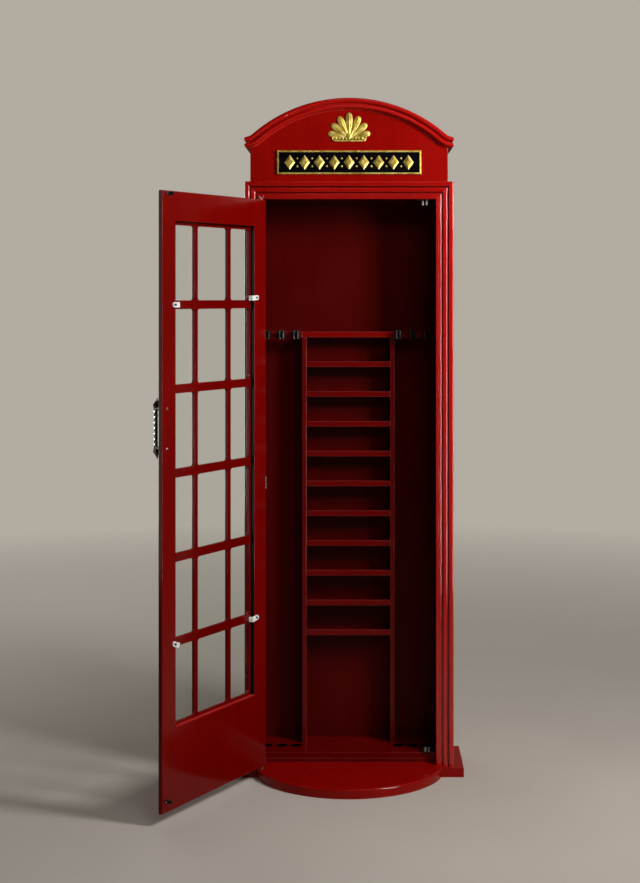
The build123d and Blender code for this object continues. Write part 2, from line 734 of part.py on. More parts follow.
def glass_clip_places():
    """(side, height, tilt in degrees) of the four clips that hold the glass."""
    return [(-1, 491.5, -8), (1, 491.0, 20), (-1, 1448.5, -4), (1, 1429.5, 0)]


def at_glass_clip(part, side, z, tilt):
    """Move a part from the clip's own frame, whose origin is the screw, to its place."""
    turned = Rot(0, -tilt, 0) * (part if side > 0 else mirrored(part))
    return Pos(side * (DOOR_HALF - STILE + 5.5), 0, z) * turned


def glass_clip():
    """Cranked strap, screwed to the stile through a slot; its bent end bears on the glass."""
    glass = DOOR_FRONT + 0.2 + GLASS_THICKNESS
    top = DOOR_BACK + CLIP_STRAP
    height = (-7.2, 7.2)
    strap = block((-21.5, 10.8), (DOOR_BACK, top), height)
    strap += block((-21.5, -17), (glass, top), height)
    strap += block((-23.5, -17), (glass, glass + CLIP_TONGUE), height)
    arris = [e for e in edges_along(strap, Axis.Z) if abs(e.center().X + 21.5) < 0.1]
    strap = fillet([e for e in arris if abs(e.center().Y - top) < 0.1], 3.0)
    ends = [e for e in edges_along(strap, Axis.Y) if abs(e.center().X - 10.8) < 0.1]
    strap = fillet(ends, 6.5)
    slot = Plane.XZ * (Pos(2, 0) * SlotOverall(12, 4.6))
    return strap - front_slab(slot, DOOR_BACK - 1, top + 1)


def glass_clips():
    return group([at_glass_clip(glass_clip(), *place) for place in glass_clip_places()])


def glass_clip_screws():
    fixing = screw(0, 0, DOOR_BACK + CLIP_STRAP, 3.5, 1.6, 9.0, -1)
    return group([at_glass_clip(fixing, *place) for place in glass_clip_places()])


def pull_leaf(z, point):
    """Spearhead at the end of the bar; point is +1 upwards or -1 downwards."""
    wide = [
        Line((-4.2, -5), (4.2, -5)),
        ThreePointArc((4.2, -5), (5.6, 3), (PULL_LEAF_HALF, 9)),
        ThreePointArc((PULL_LEAF_HALF, 9), (3.8, 18), (0, PULL_LEAF)),
        ThreePointArc((0, PULL_LEAF), (-3.8, 18), (-PULL_LEAF_HALF, 9)),
        ThreePointArc((-PULL_LEAF_HALF, 9), (-5.6, 3), (-4.2, -5)),
    ]
    deep = [
        Line((-4.2, -5), (4.2, -5)),
        ThreePointArc((4.2, -5), (4.6, 8), (0.8, PULL_LEAF)),
        Line((0.8, PULL_LEAF), (-0.8, PULL_LEAF)),
        ThreePointArc((-0.8, PULL_LEAF), (-4.6, 8), (-4.2, -5)),
    ]
    face = front_slab(Plane.XZ * make_face(wide), -8, 8)
    edge = extrude(Plane.YZ * make_face(deep), 16, both=True)
    leaf = Rot(-PULL_LEAF_LEAN, 0, 0) * (face & edge)
    leaf = leaf if point > 0 else mirror(leaf, about=Plane.XY)
    return Pos(PULL_X, DOOR_FRONT - PULL_STANDOFF, z) * leaf


def pull_handle():
    """Twisted square bar between two spearheads, held off the door by two posts."""
    low, high = PULL_Z
    bar_y = DOOR_FRONT - PULL_STANDOFF
    section = Pos(PULL_X, bar_y, low) * RectangleRounded(PULL_BAR, PULL_BAR, 1.2)
    handle = Part() + Solid.extrude_linear_with_rotation(
        section.faces()[0], (PULL_X, bar_y, low), (0, 0, high - low), PULL_TWIST
    )
    for z, point in ((low, -1), (high, 1)):
        handle += pull_leaf(z, point)
        handle += cross_rod(5, PULL_X, z, bar_y, DOOR_FRONT)
    return handle


def handle_screws():
    return group([screw(PULL_X, z, DOOR_BACK, 3.6, 2.0, 24.0, -1) for z in PULL_Z])


def strike(x, z):
    """Spear strike: a plate on the door and a thin blade with a swollen point."""
    plate = block((-11, 11), (DOOR_BACK, DOOR_BACK + 1.5), (-5.5, 5.5))
    bead_y = ROLLER_Y + 2.0
    outline = [
        (-0.9, DOOR_BACK + 1), (0.9, DOOR_BACK + 1), (0.9, bead_y - 1.5), (1.3, bead_y - 0.3),
        (1.3, bead_y + 0.3), (0.3, bead_y + 2), (-0.3, bead_y + 2), (-1.3, bead_y + 0.3),
        (-1.3, bead_y - 0.3), (-0.9, bead_y - 1.5),
    ]
    plan = make_face(Polyline(*outline, close=True).edges())
    blade = Pos(0, 0, -4.5) * extrude(plan, 9)
    return Pos(x, 0, z) * (plate + blade)


def strikes():
    return group([strike(*TOP_STRIKE), strike(*BOTTOM_STRIKE)])


def strike_screws():
    seat = DOOR_BACK + 1.5
    places = [(x + dx, z) for x, z in (TOP_STRIKE, BOTTOM_STRIKE) for dx in (-7.5, 7.5)]
    return group([screw(x, z, seat, 2.0, 1.0, 8.0, -1) for x, z in places])


# ---------------------------------------------------------------- door hanging, door side

def pivot_lug(edge_z, inward):
    """Plate on the door's face with a lug over the hinge axis; inward is the way to mid height."""
    thick = sorted((edge_z, edge_z + inward * LUG_THICKNESS))
    lug = rod(LUG_RADIUS, AXIS_X, AXIS_Y, *thick)
    lug += block((AXIS_X, AXIS_X + 29), (AXIS_Y - 4, DOOR_FRONT - 2), thick)
    flange = sorted((edge_z, edge_z + inward * 26))
    lug += block((AXIS_X + 6.5, AXIS_X + 29), (DOOR_FRONT - 2, DOOR_FRONT), flange)
    return lug - rod(PIVOT_RADIUS + RUNNING_GAP, AXIS_X, AXIS_Y, thick[0] - 1, thick[1] + 1)


def door_pivot_lugs():
    return group([pivot_lug(DOOR_TOP, -1), pivot_lug(DOOR_BOTTOM, 1)])


def hinge_door_leaf():
    """Leaf that wraps the door's edge and shows as a narrow strip on the inside."""
    edge = -DOOR_HALF
    leaf = block((edge - 1.2, edge), (AXIS_Y + 2, DOOR_BACK + 1.2), HINGE_Z)
    leaf += block((edge - 1.2, edge + 5), (DOOR_BACK, DOOR_BACK + 1.2), HINGE_Z)
    for knuckle in (hinge_thirds()[0], hinge_thirds()[2]):
        leaf += block((AXIS_X, edge), (AXIS_Y, DOOR_FRONT - 2.2), knuckle)
        leaf += rod(BARREL_RADIUS, AXIS_X, AXIS_Y, *knuckle)
    return leaf - rod(HINGE_PIN_RADIUS + RUNNING_GAP, AXIS_X, AXIS_Y, *HINGE_Z)


def door_hinge_screws():
    seat = DOOR_FRONT - 2
    x = AXIS_X + 19
    heights = (DOOR_TOP - 9, DOOR_TOP - 19, DOOR_BOTTOM + 9, DOOR_BOTTOM + 19)
    return group([screw(x, z, seat, 2.8, 1.4, 9.0) for z in heights])


# ---------------------------------------------------------------- write every node

save("plinth_board", plinth_board())
save("half_round_step", half_round_step())
save("side_panel_left", mirrored(side_panel_right()))
save("side_panel_right", side_panel_right())
save("back_panel", back_panel())
save("ceiling_panel", ceiling_panel())
save("interior_floor", interior_floor())
save("floor_bearers", floor_bearers())
save("frame_stile_left", mirrored(frame_stile_right()))
save("frame_stile_right", frame_stile_right())
save("frame_top_rail", frame_top_rail())
save("header_panel", header_panel())
save("roof_panel", roof_panel())
save("cornice_front", cornice_front())
save("cornice_returns", group([cornice_return_right(), mirrored(cornice_return_right())]))
save("sign_plate", sign_plate())
save("sign_border", sign_border())
save("sign_relief", sign_relief())
save("crest_ornament", crest_ornament())

save("rack_side_left", rack_side(-1))
save("rack_side_right", rack_side(1))
save("rack_top_board", rack_top_board())
save("ball_shelves", ball_shelves())
save("shelf_lips", shelf_lips())
save("clip_rails", clip_rails())
save("cue_clips", cue_clips())
save("cue_clip_screws", cue_clip_screws())

save("top_pivot_bracket", top_pivot_bracket())
save("bottom_pivot_plate", bottom_pivot_plate())
save("pivot_pins", pivot_pins())
save("hinge_frame_leaf", hinge_frame_leaf())
save("hinge_pin", hinge_pin())
save("frame_hinge_screws", frame_hinge_screws())

SIDES = {"left": -1, "right": 1}
save("catch_housings", both_catches([catch_housing()]))
save("catch_screws", both_catches([catch_screw(s) for s in SIDES.values()]))
save("catch_springs", both_catches([catch_spring(s) for s in SIDES.values()]))
for word, side in SIDES.items():
    save("bottom_jaw_" + word, at_bottom(catch_jaw(side)))
    save("top_jaw_" + word, at_top(catch_jaw(side)))
    save("bottom_roller_" + word, at_bottom(catch_roller(side)))
    save("top_roller_" + word, at_top(catch_roller(side)))

DOOR_PARTS = {
    "door_frame": door_frame(),
    "muntin_grid": muntin_grid(),
    "glass_sheet": glass_sheet(),
    "glass_seal": glass_seal(),
    "glass_clips": glass_clips(),
    "glass_clip_screws": glass_clip_screws(),
    "pull_handle": pull_handle(),
    "handle_screws": handle_screws(),
    "strikes": strikes(),
    "strike_screws": strike_screws(),
    "door_pivot_lugs": door_pivot_lugs(),
    "hinge_door_leaf": hinge_door_leaf(),
    "door_hinge_screws": door_hinge_screws(),
}
for name, part in DOOR_PARTS.items():
    save(name, door_open(part))
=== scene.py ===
import json
import math

import bmesh
import bpy
from mathutils import Matrix, Vector


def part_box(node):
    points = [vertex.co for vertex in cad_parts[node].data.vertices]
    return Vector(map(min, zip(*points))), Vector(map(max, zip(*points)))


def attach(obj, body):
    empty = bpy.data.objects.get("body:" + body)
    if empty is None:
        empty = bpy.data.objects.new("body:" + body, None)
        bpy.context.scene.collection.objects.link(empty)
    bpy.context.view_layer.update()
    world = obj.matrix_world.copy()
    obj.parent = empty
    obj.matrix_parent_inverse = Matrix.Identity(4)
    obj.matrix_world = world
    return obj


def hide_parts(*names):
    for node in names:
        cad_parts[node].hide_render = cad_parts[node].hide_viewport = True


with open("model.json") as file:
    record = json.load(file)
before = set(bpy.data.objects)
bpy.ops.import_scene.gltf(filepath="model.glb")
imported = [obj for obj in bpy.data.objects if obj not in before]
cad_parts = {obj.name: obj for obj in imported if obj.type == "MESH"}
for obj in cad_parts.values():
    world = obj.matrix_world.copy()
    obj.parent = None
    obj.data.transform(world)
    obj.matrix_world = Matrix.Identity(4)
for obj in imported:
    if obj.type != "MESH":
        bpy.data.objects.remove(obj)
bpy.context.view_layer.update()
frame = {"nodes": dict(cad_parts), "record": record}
NODES = frame["nodes"]

OUTER_HALF_WIDTH = 0.2995       # beyond this a side panel shows its outer face
OUTER_BACK = 0.2145             # beyond this the back panel shows its outer face
HOLE_WALL_TOP = 0.0583          # the cue holes' walls lie under this height
HOLE_WALL_FRONT = 0.09          # and behind the floor board's front edge
SEAL_PAINT_TOP = 0.2626         # the glazing bead is painted red up to here, in a bright red that carries painted light

BACKDROP = (0.80, 0.735, 0.64)
BACKDROP_LEVEL = 0.56           # what the camera sees
BEHIND_LEVEL = 0.12             # what surfaces see at the back of the scene
AHEAD_LEVEL = 0.030             # what surfaces see in front of the object
FLOOR_GLOW = 0.08               # what surfaces see of the floor's far edge
FLOOR_HALF = 14                 # half the floor's width
FADE_START, FADE_END = 0.6, 5.2     # the floor fades into the backdrop between these distances

CAMERA_PLACE = (0.021, -4.712, 1.457)
CAMERA_SHIFT = (-0.0408, -0.1661)
CAMERA_SENSOR = 36
CAMERA_LENS = 63.4

WARM = (1.0, 0.97, 0.94)
SOFT = (1.0, 0.98, 0.96)
ROSE = (1.0, 0.97, 0.96)
WHITE = (1.0, 1.0, 1.0)

# name, place, target, size, power, colour, the light that it gives
LAMPS = (
    ("key", (1.45, -1.15, 2.15), (0.0, 0.05, 1.1), (0.45, 0.9), 46, WARM, "all"),
    ("front_fill", (1.1, -3.3, 3.0), (0.0, 0.0, 0.9), (1.6, 0.5), 24, SOFT, "diffuse"),
    ("back_fill", (-1.9, 2.6, 2.5), (0.0, 0.0, 0.9), (2.6, 2.2), 30, SOFT, "diffuse"),
    ("right_sheen", (1.6, -1.15, 1.2), (0.3, 0.0, 1.0), (0.6, 2.0), 90, ROSE, "glossy"),
    ("left_sheen", (-1.7, 0.5, 1.3), (-0.5, -0.4, 1.1), (1.0, 1.4), 50, WHITE, "glossy"),
    ("edge_sheen", (-2.35, -1.3, 1.3), (-0.53, -0.46, 1.2), (0.9, 2.0), 9, SOFT, "glossy"),
    ("top_sheen", (0.3, -0.9, 3.1), (0.0, 0.0, 1.0), (1.2, 0.4), 4, SOFT, "glossy"),
)


# ---------------------------------------------------------------- material graphs

class Graph:
    """A material's node tree with short calls for adding and joining nodes."""

    def __init__(self, name):
        self.material = bpy.data.materials.new(name)
        self.material.use_nodes = True
        self.tree = self.material.node_tree
        self.tree.nodes.clear()
        self.output = self.tree.nodes.new("ShaderNodeOutputMaterial")

    def add(self, kind, settings=None, **inputs):
        node = self.tree.nodes.new("ShaderNode" + kind)
        for key, value in (settings or {}).items():
            setattr(node, key, value)
        for key, value in inputs.items():
            self.put(node.inputs[key.replace("_", " ")], value)
        return node

    def put(self, socket, value):
        if isinstance(value, bpy.types.NodeSocket):
            self.tree.links.new(value, socket)
        else:
            socket.default_value = value

    def place(self, stretch=(1, 1, 1)):
        """The object's own coordinates, stretched."""
        coords = self.add("TexCoord")
        mapping = self.add("Mapping", Vector=coords.outputs["Object"], Scale=stretch)
        return mapping.outputs["Vector"]

    def noise(self, scale, detail=3.0, stretch=(1, 1, 1), roughness=0.55):
        node = self.add("TexNoise", Vector=self.place(stretch), Scale=scale, Detail=detail,
                        Roughness=roughness)
        return node.outputs["Fac"]

    def ramp(self, value, stops):
        node = self.add("ValToRGB", Fac=value)
        ramp = node.color_ramp
        while len(ramp.elements) < len(stops):
            ramp.elements.new(0.5)
        for element, (position, colour) in zip(ramp.elements, stops):
            element.position = position
            element.color = (*colour, 1)
        return node.outputs["Color"]

    def spread(self, value, low, high, start=0.3, end=0.7):
        """Maps a 0 to 1 value onto low to high."""
        node = self.add("MapRange", Value=value)
        node.inputs["From Min"].default_value = start
        node.inputs["From Max"].default_value = end
        node.inputs["To Min"].default_value = low
        node.inputs["To Max"].default_value = high
        return node.outputs["Result"]

    def mix(self, factor, first, second, blend="MIX"):
        node = self.add("Mix", {"data_type": "RGBA", "blend_type": blend})
        self.put(node.inputs[0], factor)
        self.put(node.inputs[6], (*first, 1) if isinstance(first, tuple) else first)
        self.put(node.inputs[7], (*second, 1) if isinstance(second, tuple) else second)
        return node.outputs[2]

    def maths(self, operation, *values):
        node = self.add("Math", {"operation": operation})
        for socket, value in zip(node.inputs, values):
            self.put(socket, value)
        return node.outputs[0]

    def edges(self, radius):
        """1 on convex and concave edges, 0 on flat ground, from the bevelled normal."""
        bevel = self.add("Bevel", {"samples": 4}, Radius=radius)
        true = self.add("NewGeometry")
        dot = self.add("VectorMath", {"operation": "DOT_PRODUCT"})
        self.put(dot.inputs[0], bevel.outputs["Normal"])
        self.put(dot.inputs[1], true.outputs["Normal"])
        return self.spread(dot.outputs["Value"], 1.0, 0.0, 0.80, 1.0)

    def pits(self, level, behind):
        """1 on the walls of the holes in a level board: under its top face, behind its front edge."""
        split = self.add("SeparateXYZ", Vector=self.place())
        low = self.maths("LESS_THAN", split.outputs["Z"], level)
        back = self.maths("GREATER_THAN", split.outputs["Y"], behind)
        return self.maths("MULTIPLY", low, back)

    def outside(self, half, back):
        """1 beyond a half width or a depth, where a board shows its outer face."""
        split = self.add("SeparateXYZ", Vector=self.place())
        side = self.maths("GREATER_THAN", self.maths("ABSOLUTE", split.outputs["X"]), half)
        return self.maths("MAXIMUM", side, self.maths("GREATER_THAN", split.outputs["Y"], back))

    def bump(self, height, strength, distance, normal=None):
        node = self.add("Bump", Height=height, Strength=strength, Distance=distance)
        if normal is not None:
            self.put(node.inputs["Normal"], normal)
        return node.outputs["Normal"]

    def finish(self, **inputs):
        return self.surface(self.add("BsdfPrincipled", **inputs).outputs["BSDF"])

    def finish_mixed(self, share, first, second):
        """Finishes with two shaders mixed; a share of 1 shows only the second."""
        mixed = self.add("MixShader")
        for socket, value in zip(mixed.inputs, (share, first, second)):
            self.put(socket, value)
        return self.surface(mixed.outputs[0])

    def surface(self, shader):
        self.tree.links.new(shader, self.output.inputs["Surface"])
        return self.material


def lacquer(name, tone, roughness=(0.16, 0.28), stretch=(1, 1, 0.12), shine=0.42, pits=None, outer=None,
            arris_highlight_and_wear=(0.0016, 0.34, 0.30)):
    """Glossy red lacquer over board: cloudy depth, faint brush streaks, soft smears, rounded arrises.

    The arris values give the width, share and paleness of the paled arrises, a painted highlight with wear;
    pits blackens a board's hole walls;
    outer is the brightness gain and the extra polish of a board's outer face, which lifts it above inner
    faces whose tone is darkened as painted shade.
    """
    g = Graph(name)
    clouds = g.noise(3.2, 4.0)
    streaks = g.noise(42.0, 5.0, stretch)
    blend = g.maths("MULTIPLY_ADD", streaks, 0.40, g.maths("MULTIPLY", clouds, 0.60))
    deep = (tone * 0.84, tone * 0.004, tone * 0.001)
    full = (tone, tone * 0.008, tone * 0.003)
    glow = (tone * 1.20, tone * 0.016, tone * 0.010)
    colour = g.ramp(blend, [(0.30, deep), (0.52, full), (0.78, glow)])
    # the arrises are paled: a painted highlight along the edges, with wear
    width, share, pale = arris_highlight_and_wear
    edge = g.edges(width)
    highlit_and_rubbed = (min(1.0, tone * 2.2), tone * pale, tone * pale)
    edge_highlight_and_wear = g.mix(g.maths("MULTIPLY", edge, share), colour, highlit_and_rubbed)
    if pits:
        edge_highlight_and_wear = g.mix(g.pits(*pits), edge_highlight_and_wear, (0.001, 0.001, 0.001))
    smear = g.noise(9.0, 4.0, (1, 1, 0.4))
    dull = g.spread(smear, roughness[0], roughness[1])
    # inner faces keep a tone darkened as painted shade; the outer face is lifted back by the gain
    if outer:
        gain, polish = outer
        outside = g.outside(OUTER_HALF_WIDTH, OUTER_BACK)
        edge_highlight_and_wear = g.mix(outside, edge_highlight_and_wear, g.mix(1.0, edge_highlight_and_wear, (gain, gain, gain), "MULTIPLY"))
        dull = g.maths("SUBTRACT", dull, g.maths("MULTIPLY", outside, polish))
    peel = g.noise(240.0, 2.0)
    grain = g.noise(150.0, 4.0, stretch)
    height = g.maths("ADD", g.maths("MULTIPLY", peel, 0.5), grain)
    rounded = g.add("Bevel", {"samples": 4}, Radius=0.0012)
    return g.finish(
        Base_Color=edge_highlight_and_wear,
        Roughness=dull,
        Specular_IOR_Level=shine,
        Normal=g.bump(height, 0.06, 0.0004, rounded.outputs["Normal"]),
    )


def gilt(name):
    """Gold paint with a pale face, painted shade in the hollows and paled high points that are painted
    highlight with wear.
    """
    g = Graph(name)
    patches = g.noise(60.0, 5.0)
    colour = g.ramp(patches, [
        (0.30, (0.30, 0.20, 0.02)), (0.50, (0.54, 0.40, 0.06)), (0.72, (0.72, 0.60, 0.17)),
    ])
    # the hollows are darkened by ambient occlusion: painted shade
    hollow = g.add("AmbientOcclusion", Distance=0.006)
    shaded = g.mix(g.spread(hollow.outputs["AO"], 1.0, 0.0, 0.35, 0.85), colour, (0.16, 0.09, 0.01))
    # the edges are paled towards light gold: a painted highlight, with wear
    edge = g.edges(0.0012)
    highlit_and_rubbed = g.mix(g.maths("MULTIPLY", edge, 0.65), shaded, (1.0, 0.93, 0.50))
    pits = g.noise(420.0, 3.0)
    return g.finish(
        Base_Color=highlit_and_rubbed,
        Metallic=0.55,
        Roughness=g.spread(patches, 0.30, 0.5),
        Normal=g.bump(pits, 0.25, 0.0004),
    )


def enamel(name, colour, roughness=0.22, shine=0.5, edge_highlight_and_wear=0.0):
    """Black stove enamel, moulding or sealant with a slight ripple."""
    g = Graph(name)
    patches = g.noise(24.0, 3.0)
    tone = g.ramp(patches, [(0.3, colour), (0.75, tuple(c * 2.2 + 0.001 for c in colour))])
    # the edges are paled towards blue-grey: a painted highlight, with wear
    edge = g.maths("MULTIPLY", g.edges(0.0010), edge_highlight_and_wear)
    tone = g.mix(edge, tone, (0.42, 0.45, 0.48))
    rounded = g.add("Bevel", {"samples": 4}, Radius=0.0010)
    return g.finish(
        Base_Color=tone,
        Roughness=g.spread(patches, roughness, roughness + 0.12),
        Specular_IOR_Level=shine,
        Normal=g.bump(g.noise(160.0, 2.0), 0.12, 0.0005, rounded.outputs["Normal"]),
    )


def seal(name, painted_below):
    """Black glazing bead; the strip under a given height is red like the frame, in a bright tone that is
    painted light on the lit ledge.
    """
    g = Graph(name)
    split = g.add("SeparateXYZ", Vector=g.place())
    # the low strip gets a bright red, brighter than the door's lacquer: the frame's colour with painted
    # light
    painted = g.maths("LESS_THAN", split.outputs["Z"], painted_below)
    ripple = g.noise(160.0, 2.0)
    black = g.ramp(ripple, [(0.3, (0.001, 0.001, 0.001)), (0.75, (0.003, 0.003, 0.003))])
    rounded = g.add("Bevel", {"samples": 4}, Radius=0.0010)
    return g.finish(
        Base_Color=g.mix(painted, black, (0.42, 0.020, 0.018)),
        Roughness=g.spread(ripple, 0.14, 0.24),
        Specular_IOR_Level=0.14,
        Normal=g.bump(ripple, 0.10, 0.0004, rounded.outputs["Normal"]),
    )


def plated(name, tint, roughness, stretch=(1, 1, 6)):
    """Plated or drawn metal with fine rolling lines, cloudy roughness and dulled hollows."""
    g = Graph(name)
    lines = g.noise(700.0, 2.0, stretch)
    clouds = g.noise(60.0, 4.0)
    dull = tuple(c * 0.72 for c in tint)
    colour = g.ramp(clouds, [(0.3, dull), (0.7, tint)])
    return g.finish(
        Base_Color=colour,
        Metallic=1.0,
        Roughness=g.spread(clouds, roughness, roughness + 0.16),
        Normal=g.bump(lines, 0.10, 0.0002),
    )


def iron(name):
    """Black waxed wrought iron: lightly hammered, nearly black and glossy, with paled edges that are wear
    and painted highlight.
    """
    g = Graph(name)
    hammer = g.add("TexVoronoi", {"feature": "SMOOTH_F1"}, Vector=g.place(), Scale=210.0)
    scale = g.noise(160.0, 5.0)
    colour = g.ramp(scale, [
        (0.32, (0.004, 0.004, 0.005)), (0.62, (0.014, 0.013, 0.014)), (0.8, (0.03, 0.028, 0.028)),
    ])
    # the edges are paled towards grey: wear with a painted highlight
    edge = g.edges(0.0012)
    highlit_and_rubbed = g.mix(g.maths("MULTIPLY", edge, 0.25), colour, (0.16, 0.15, 0.15))
    height = g.maths("ADD", hammer.outputs["Distance"], g.maths("MULTIPLY", scale, 0.4))
    return g.finish(
        Base_Color=highlit_and_rubbed,
        Roughness=g.spread(scale, 0.16, 0.28),
        Specular_IOR_Level=0.9,
        Coat_Weight=0.6,
        Coat_Roughness=0.08,
        Normal=g.bump(height, 0.14, 0.0006),
    )


def moulding(name, dark, light):
    """Moulded plastic with a faint cloudiness and soft edges."""
    g = Graph(name)
    clouds = g.noise(180.0, 3.0)
    colour = g.ramp(clouds, [(0.3, dark), (0.7, light)])
    rounded = g.add("Bevel", {"samples": 4}, Radius=0.0008)
    return g.finish(
        Base_Color=colour,
        Roughness=g.spread(clouds, 0.28, 0.44),
        Subsurface_Weight=0.08,
        Subsurface_Scale=0.002,
        Normal=g.bump(clouds, 0.08, 0.0003, rounded.outputs["Normal"]),
    )


def clear_glass(name):
    """Thin clear sheet: light goes straight through, with a reflection that grows towards grazing angles."""
    g = Graph(name)
    ripple = g.noise(5.0, 2.0)
    normal = g.bump(ripple, 0.05, 0.002)
    facing = g.add("LayerWeight", Blend=0.5, Normal=normal).outputs["Facing"]
    grazing = g.maths("POWER", facing, 5.0)
    share = g.maths("MULTIPLY_ADD", grazing, 0.80, 0.005)
    film = g.noise(14.0, 5.0)
    through = g.add("BsdfTransparent", Color=(0.965, 0.975, 0.965, 1))
    shine = g.add("BsdfGlossy", Color=(1, 1, 1, 1), Roughness=g.spread(film, 0.01, 0.04), Normal=normal)
    return g.finish_mixed(share, through.outputs["BSDF"], shine.outputs["BSDF"])


def floor_finish(name):
    """Pale matt floor with a very faint mottle that fades into the surroundings far away."""
    g = Graph(name)
    mottle = g.noise(0.9, 5.0)
    colour = g.ramp(mottle, [(0.3, (0.50, 0.46, 0.41)), (0.7, (0.56, 0.52, 0.47))])
    matt = g.add("BsdfPrincipled", Base_Color=colour, Roughness=0.80, Specular_IOR_Level=0.0)
    seen = g.add("LightPath").outputs["Is Camera Ray"]
    level = g.spread(seen, FLOOR_GLOW, BACKDROP_LEVEL, 0.0, 1.0)
    glow = g.add("Emission", Color=(*BACKDROP, 1), Strength=level)
    reach = g.add("VectorMath", {"operation": "LENGTH"})
    g.put(reach.inputs[0], g.add("NewGeometry").outputs["Position"])
    share = g.spread(reach.outputs["Value"], 0.0, 1.0, FADE_START, FADE_END)
    return g.finish_mixed(share, matt.outputs["BSDF"], glow.outputs["Emission"])


# ---------------------------------------------------------------- the looks and what wears them

# strongly paled arrises for the inside boards: painted highlight along the lips, sides and top board, with
# wear
INSIDE_ARRIS_HIGHLIGHT_AND_WEAR = (0.0026, 0.75, 0.80)
RACK_TOP_ARRIS_HIGHLIGHT_AND_WEAR = (0.0026, 0.6, 0.6)
HOLE_WALLS = (HOLE_WALL_TOP, HOLE_WALL_FRONT)

LOOKS = {
    # the rail, the stiles and the cornice front: the red lacquer in brighter tones as painted light, the
    # stiles brightest
    "rail_lacquer_painted_light": lacquer("rail_lacquer_painted_light", 0.32, (0.09, 0.16), shine=0.42),
    "stile_lacquer_painted_light": lacquer("stile_lacquer_painted_light", 0.42, (0.09, 0.16), shine=0.70),
    "cornice_lacquer_painted_light": lacquer("cornice_lacquer_painted_light", 0.40, (0.10, 0.18), shine=0.30),
    # plinth and step: the red lacquer a little darker, painted shade on the step's front
    "plinth_lacquer_painted_shade": lacquer("plinth_lacquer_painted_shade", 0.27, (0.10, 0.18), shine=0.16),
    # rack top board: darker than the front as painted shade inside, lighter than the other inside boards as
    # painted light near the lamp
    "rack_top_lacquer_painted_light_and_shade": lacquer("rack_top_lacquer_painted_light_and_shade", 0.20, (0.14, 0.24), shine=0.20, arris_highlight_and_wear=RACK_TOP_ARRIS_HIGHLIGHT_AND_WEAR),
    # cornice returns: darker and dull, painted shade under the cornice's sides
    "return_lacquer_painted_shade": lacquer("return_lacquer_painted_shade", 0.24, (0.45, 0.60), shine=0.05),
    "red_lacquer": lacquer("red_lacquer", 0.285, (0.10, 0.18), shine=0.34),
    # the door's lacquer is far darker than the cabinet's: painted shade on the open door's inner face
    "red_lacquer_door": lacquer("red_lacquer_door", 0.17, (0.10, 0.17), shine=0.13),
    # inside boards, floor, back and sides: the red lacquer darkened as painted shade inside the cabinet
    "inside_lacquer_painted_shade": lacquer("inside_lacquer_painted_shade", 0.13, (0.14, 0.24), shine=0.17, arris_highlight_and_wear=INSIDE_ARRIS_HIGHLIGHT_AND_WEAR),
    "floor_lacquer_painted_shade": lacquer("floor_lacquer_painted_shade", 0.13, (0.14, 0.24), shine=0.26, pits=HOLE_WALLS),
    "back_lacquer_painted_shade": lacquer("back_lacquer_painted_shade", 0.075, (0.30, 0.42), shine=0.06, outer=(3.4, 0.10)),
    "side_lacquer_painted_shade": lacquer("side_lacquer_painted_shade", 0.10, (0.30, 0.42), shine=0.12, outer=(2.8, 0.17)),
    "black_enamel": enamel("black_enamel", (0.0010, 0.0006, 0.0008), 0.30, 0.05),
    "black_plastic": enamel("black_plastic", (0.004, 0.004, 0.004), 0.16, 0.5, 0.14),
    "black_seal": seal("black_seal", SEAL_PAINT_TOP),
    "black_screws": plated("black_screws", (0.05, 0.05, 0.052), 0.28),
    "gold_paint": gilt("gold_paint"),
    "nickel": plated("nickel", (0.82, 0.81, 0.79), 0.18),
    "bright_steel": plated("bright_steel", (0.30, 0.30, 0.30), 0.30),
    "dark_steel": plated("dark_steel", (0.045, 0.045, 0.045), 0.34),
    "black_iron": iron("black_iron"),
    "clear_glass": clear_glass("clear_glass"),
    # the rollers' grey is darkened as painted shade
    "roller_plastic": moulding("roller_plastic", (0.10, 0.10, 0.09), (0.17, 0.17, 0.155)),
    "white_plastic": moulding("white_plastic", (0.80, 0.81, 0.80), (0.92, 0.93, 0.92)),
}

# nodes that wear something other than their slot's own look
LOOK_NODES = {
    "rail_lacquer_painted_light": ("frame_top_rail",),
    "stile_lacquer_painted_light": ("frame_stile_left", "frame_stile_right"),
    "cornice_lacquer_painted_light": ("cornice_front",),
    "plinth_lacquer_painted_shade": ("plinth_board", "half_round_step"),
    "dark_steel": ("top_jaw_left", "top_jaw_right", "bottom_jaw_left", "bottom_jaw_right", "catch_springs"),
    "black_enamel": ("catch_housings",),
    "nickel": ("handle_screws",),
    "rack_top_lacquer_painted_light_and_shade": ("rack_top_board",),
    "return_lacquer_painted_shade": ("cornice_returns",),
    "back_lacquer_painted_shade": ("back_panel", "ceiling_panel"),
    "side_lacquer_painted_shade": ("side_panel_left", "side_panel_right"),
    "floor_lacquer_painted_shade": ("interior_floor",),
    "inside_lacquer_painted_shade": (
        "floor_bearers", "rack_side_left", "rack_side_right", "ball_shelves", "shelf_lips", "clip_rails",
    ),
}


def paint(obj, look):
    obj.data.materials.clear()
    obj.data.materials.append(LOOKS[look])
    for polygon in obj.data.polygons:
        polygon.material_index = 0


look_of = {part["node"]: part["material_slot"] for part in frame["record"]["subparts"]}
look_of.update({node: look for look, nodes in LOOK_NODES.items() for node in nodes})
for node, look in look_of.items():
    paint(NODES[node], look)


# ---------------------------------------------------------------- the crest

